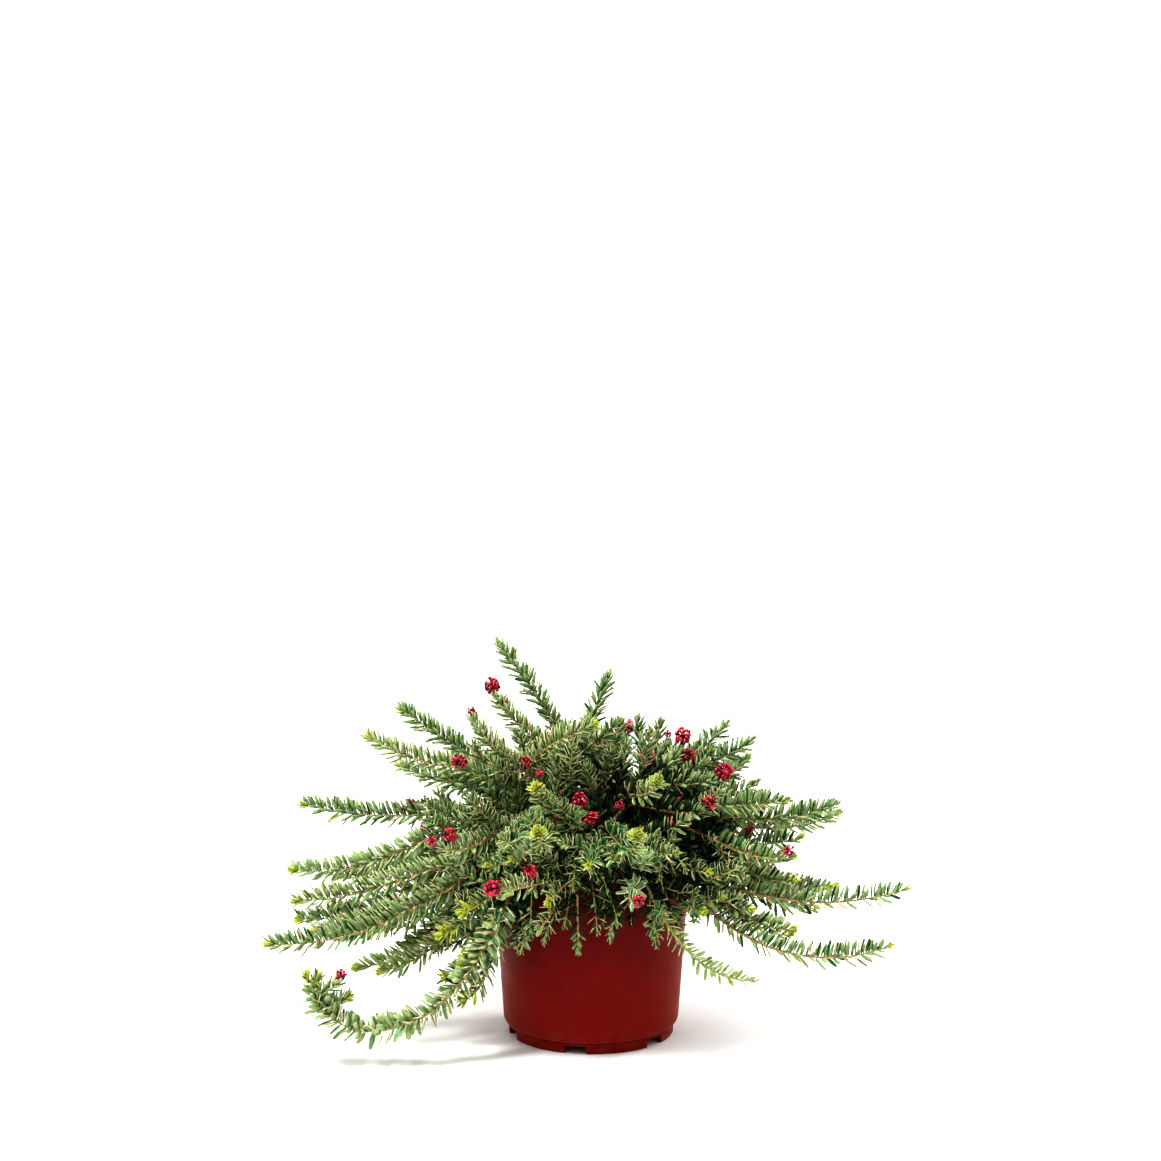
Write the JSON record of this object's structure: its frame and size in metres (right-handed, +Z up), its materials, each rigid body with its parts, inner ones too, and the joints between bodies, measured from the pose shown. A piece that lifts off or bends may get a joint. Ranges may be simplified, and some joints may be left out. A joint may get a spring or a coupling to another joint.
{
  "type": "grevillea shrub in a nursery pot",
  "caption": "Low spreading grevillea in a round plastic nursery pot, with arching leafy wands and clusters of flower buds.",
  "frame": {"origin": "centre of the flat face that the pot stands on", "axes": "+Z up along the pot's axis, +X to the right of the front view, +Y behind the pot"},
  "size_m": [0.4408, 0.3313, 0.269],
  "materials": {
    "pot": "dull brick red moulded plastic with fine scuffs",
    "soil": "dark crumbly potting soil",
    "bark": "dull grey brown bark",
    "foliage": "dull green leaves with paler edges"
  },
  "bodies": {
    "root": {"bough_back_left_spire": "bark", "bough_back_low_1": "bark", "bough_back_low_2": "bark", "bough_back_low_3": "bark", "bough_back_low_4": "bark", "bough_back_middle_1": "bark", "bough_back_middle_2": "bark", "bough_back_middle_3": "bark", "bough_back_spire": "bark", "bough_front_left": "bark", "bough_front_left_middle": "bark", "bough_front_low": "bark", "bough_front_right": "bark", "bough_front_right_low": "bark", "bough_front_spire": "bark", "bough_left_back_low": "bark", "bough_left_low": "bark", "bough_left_middle": "bark", "bough_left_spire": "bark", "bough_left_trailing": "bark", "bough_left_upper": "bark", "bough_right_front_low": "bark", "bough_right_front_middle": "bark", "bough_right_low": "bark", "bough_right_middle": "bark", "bough_right_spire": "bark", "bough_right_top": "bark", "foliage_back_left_spire": "foliage", "foliage_back_low_1": "foliage", "foliage_back_low_2": "foliage", "foliage_back_low_3": "foliage", "foliage_back_low_4": "foliage", "foliage_back_middle_1": "foliage", "foliage_back_middle_2": "foliage", "foliage_back_middle_3": "foliage", "foliage_back_spire": "foliage", "foliage_front_left": "foliage", "foliage_front_left_middle": "foliage", "foliage_front_low": "foliage", "foliage_front_right": "foliage", "foliage_front_right_low": "foliage", "foliage_front_spire": "foliage", "foliage_left_back_low": "foliage", "foliage_left_low": "foliage", "foliage_left_middle": "foliage", "foliage_left_spire": "foliage", "foliage_left_trailing": "foliage", "foliage_left_upper": "foliage", "foliage_left_upturn": "foliage", "foliage_right_front_low": "foliage", "foliage_right_front_middle": "foliage", "foliage_right_low": "foliage", "foliage_right_middle": "foliage", "foliage_right_spire": "foliage", "foliage_right_top": "foliage", "main_stem": "bark", "pot": "pot", "soil": "soil"}
  },
  "joints": []
}
